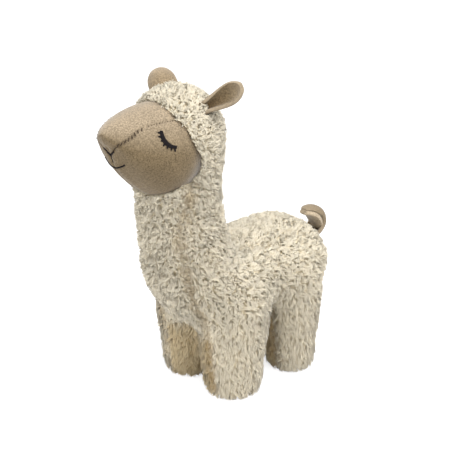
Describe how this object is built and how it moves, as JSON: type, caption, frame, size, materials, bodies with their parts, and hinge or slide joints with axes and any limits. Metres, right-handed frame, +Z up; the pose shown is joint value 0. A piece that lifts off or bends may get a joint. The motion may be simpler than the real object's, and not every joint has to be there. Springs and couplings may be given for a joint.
{
  "type": "plush llama dog toy",
  "caption": "Standing stuffed llama for a dog to carry and squeeze, with a curly fleece cover, a smooth cloth face with closed embroidered eyes, cloth ears and a tail tab.",
  "frame": {"origin": "on the standing plane, below the middle of the toy's length and width", "axes": "+Z up, the llama faces -Y, its left side is +X"},
  "size_m": [0.1182, 0.2378, 0.2741],
  "materials": {
    "fleece": "curly pile, matte",
    "face_cloth": "short nap, matte",
    "ear_cloth": "short nap, matte",
    "embroidery": "satin stitch",
    "seam_thread": "matte thread",
    "closing_thread": "matte thread",
    "fibre_filling": "loose fibre, matte",
    "squeaker_bulb": "matte",
    "squeaker_reed": "matte"
  },
  "bodies": {
    "root": {"left_side_fleece": "fleece", "right_side_fleece": "fleece", "belly_fleece": "fleece", "chest_fleece": "fleece", "bridge_cloth": "face_cloth", "left_cheek_cloth": "face_cloth", "right_cheek_cloth": "face_cloth", "left_ear": "ear_cloth", "right_ear": "ear_cloth", "tail": "ear_cloth", "left_eye_stitches": "embroidery", "right_eye_stitches": "embroidery", "nose_stitches": "embroidery", "mouth_stitches": "embroidery", "left_seam_stitches": "seam_thread", "right_seam_stitches": "seam_thread", "closing_stitches": "closing_thread", "filling": "fibre_filling", "squeaker_bulb": "squeaker_bulb", "squeaker_reed": "squeaker_reed"}
  },
  "joints": []
}
